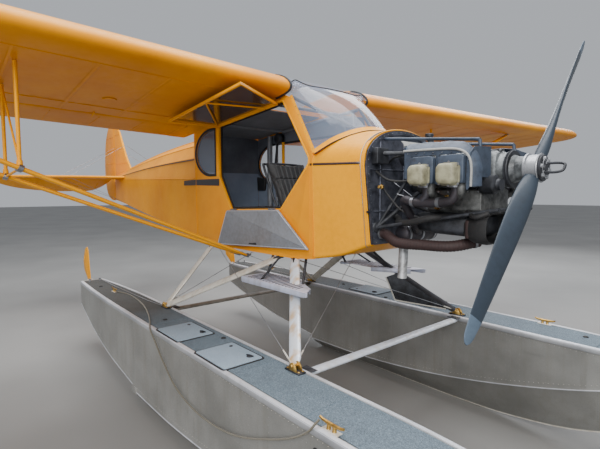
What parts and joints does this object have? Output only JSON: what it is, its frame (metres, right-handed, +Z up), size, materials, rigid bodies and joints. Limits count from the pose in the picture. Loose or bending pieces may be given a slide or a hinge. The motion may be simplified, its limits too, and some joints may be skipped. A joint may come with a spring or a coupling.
{
  "type": "floatplane",
  "caption": "Strut-braced high-wing light aeroplane on twin metal floats, uncowled engine, open cabin doors, folding water rudders, working flaps, ailerons, elevators and rudder.",
  "frame": {"origin": "centre of the object's box in plan, on the floor plane under the float keels", "axes": "+X forward to the propeller, +Y to port, +Z up"},
  "size_m": [7.398, 10.7128, 2.728],
  "materials": {
    "yellow_fabric": "doped and painted yellow, satin",
    "yellow_metal": "painted yellow, satin",
    "float_metal": "worn riveted sheet",
    "strut_metal": "painted silver",
    "blade_metal": "painted blue grey, satin",
    "dark_steel": "dark enamel",
    "cast_alloy": "as cast",
    "cover_grey": "painted pale grey",
    "baffle_blue": "painted blue grey",
    "exhaust_steel": "heat stained",
    "window_clear": "clear sheet",
    "liner_dark": "dark, matt",
    "door_inner_grey": "painted blue grey, matt",
    "seat_cover": "black pleated cover",
    "rope": "braided line",
    "hose_red": "ribbed hose"
  },
  "bodies": {
    "airframe": {"fuselage_rear": "yellow_fabric", "cabin_floor": "yellow_fabric", "cabin_wall_right": "yellow_fabric", "cabin_wall_left": "yellow_fabric", "window_rear_right": "window_clear", "window_left": "window_clear", "boot_cowl": "yellow_metal", "firewall": "dark_steel", "instrument_panel": "liner_dark", "windshield": "window_clear", "skylight": "window_clear", "cabin_roof": "yellow_fabric", "windshield_brace": "dark_steel", "seat_front": "seat_cover", "seat_rear": "seat_cover", "wing_left": "yellow_fabric", "wing_right": "yellow_fabric", "lift_strut_front_left": "yellow_metal", "lift_strut_rear_left": "yellow_metal", "lift_strut_front_right": "yellow_metal", "lift_strut_rear_right": "yellow_metal", "jury_struts_left": "yellow_metal", "jury_struts_right": "yellow_metal", "float_left": "float_metal", "float_right": "float_metal", "float_strut_front_left": "strut_metal", "float_strut_front_right": "strut_metal", "float_strut_rear_left": "strut_metal", "float_strut_rear_right": "strut_metal", "step_left": "strut_metal", "step_right": "strut_metal", "spreader_front": "strut_metal", "spreader_rear": "strut_metal", "tailplane": "yellow_fabric", "fin": "yellow_fabric", "engine_crankcase": "cast_alloy", "engine_cylinders_left": "cover_grey", "engine_cylinders_right": "cover_grey", "engine_baffles": "baffle_blue", "exhaust": "exhaust_steel", "engine_mount": "dark_steel", "air_hose": "hose_red", "mooring_line": "rope"},
    "propeller": {"propeller": "blade_metal"},
    "upper_door": {"upper_door": "yellow_metal", "upper_door_pane": "window_clear"},
    "lower_door": {"lower_door": "door_inner_grey"},
    "aileron_left": {"aileron_left": "yellow_fabric"},
    "aileron_right": {"aileron_right": "yellow_fabric"},
    "flap_left": {"flap_left": "yellow_fabric"},
    "flap_right": {"flap_right": "yellow_fabric"},
    "elevators": {"elevators": "yellow_fabric"},
    "rudder": {"rudder": "yellow_fabric"},
    "water_rudder_left": {"water_rudder_left": "yellow_metal"},
    "water_rudder_right": {"water_rudder_right": "yellow_metal"},
    "hatch_rear_left": {"hatch_rear_left": "float_metal"},
    "hatch_front_left": {"hatch_front_left": "float_metal"},
    "hatch_rear_right": {"hatch_rear_right": "float_metal"},
    "hatch_front_right": {"hatch_front_right": "float_metal"}
  },
  "joints": [
    {"name": "propeller_spin", "type": "hinge", "parent": "airframe", "child": "propeller", "pos_m": [2.974, 0, 1.742], "axis": [1, 0, 0], "continuous": true},
    {"name": "upper_door_hinge", "type": "hinge", "parent": "airframe", "child": "upper_door", "pos_m": [0.627, -0.366, 2.185], "axis": [0.9974, 0, 0.0727], "range_deg": [0, 90]},
    {"name": "lower_door_hinge", "type": "hinge", "parent": "airframe", "child": "lower_door", "pos_m": [0.81, -0.383, 1.497], "axis": [-0.9994, 0, -0.0338], "range_deg": [0, 178]},
    {"name": "aileron_left_hinge", "type": "hinge", "parent": "airframe", "child": "aileron_left", "pos_m": [0.3719, 3.9313, 2.332], "axis": [0, 0.9996, 0.0297], "range_deg": [-18, 18]},
    {"name": "aileron_right_hinge", "type": "hinge", "parent": "airframe", "child": "aileron_right", "pos_m": [0.3719, -3.9313, 2.332], "axis": [0, 0.9996, -0.0297], "range_deg": [-18, 18]},
    {"name": "flap_left_hinge", "type": "hinge", "parent": "airframe", "child": "flap_left", "pos_m": [0.3719, 1.7023, 2.26591], "axis": [0, -0.9996, -0.0297], "range_deg": [0, 40]},
    {"name": "flap_right_hinge", "type": "hinge", "parent": "airframe", "child": "flap_right", "pos_m": [0.3719, -1.7023, 2.26591], "axis": [0, -0.9996, 0.0297], "range_deg": [0, 40]},
    {"name": "elevator_hinge", "type": "hinge", "parent": "airframe", "child": "elevators", "pos_m": [-3.192, 0, 1.862], "axis": [0, 1, 0], "range_deg": [0, 50]},
    {"name": "rudder_hinge", "type": "hinge", "parent": "airframe", "child": "rudder", "pos_m": [-3.192, 0, 2.1], "axis": [0, 0, 1], "range_deg": [-25, 25]},
    {"name": "water_rudder_left_lift", "type": "hinge", "parent": "airframe", "child": "water_rudder_left", "pos_m": [-1.25, 0.92, 0.668], "axis": [0, -1, 0], "range_deg": [0, 120]},
    {"name": "water_rudder_right_lift", "type": "hinge", "parent": "airframe", "child": "water_rudder_right", "pos_m": [-1.25, -0.92, 0.668], "axis": [0, -1, 0], "range_deg": [0, 120]},
    {"name": "hatch_rear_left_hinge", "type": "hinge", "parent": "airframe", "child": "hatch_rear_left", "pos_m": [1.17, 0.825, 0.7008], "axis": [1, 0, 0], "range_deg": [0, 90]},
    {"name": "hatch_front_left_hinge", "type": "hinge", "parent": "airframe", "child": "hatch_front_left", "pos_m": [1.73, 0.825, 0.7008], "axis": [1, 0, 0], "range_deg": [0, 90]},
    {"name": "hatch_rear_right_hinge", "type": "hinge", "parent": "airframe", "child": "hatch_rear_right", "pos_m": [1.17, -0.825, 0.7008], "axis": [-1, 0, 0], "range_deg": [0, 90]},
    {"name": "hatch_front_right_hinge", "type": "hinge", "parent": "airframe", "child": "hatch_front_right", "pos_m": [1.73, -0.825, 0.7008], "axis": [-1, 0, 0], "range_deg": [0, 90]}
  ],
  "couplings": [
    {"joint": "aileron_right_hinge", "follows": "aileron_left_hinge", "ratio": -1},
    {"joint": "flap_right_hinge", "follows": "flap_left_hinge", "ratio": 1},
    {"joint": "water_rudder_right_lift", "follows": "water_rudder_left_lift", "ratio": 1}
  ]
}
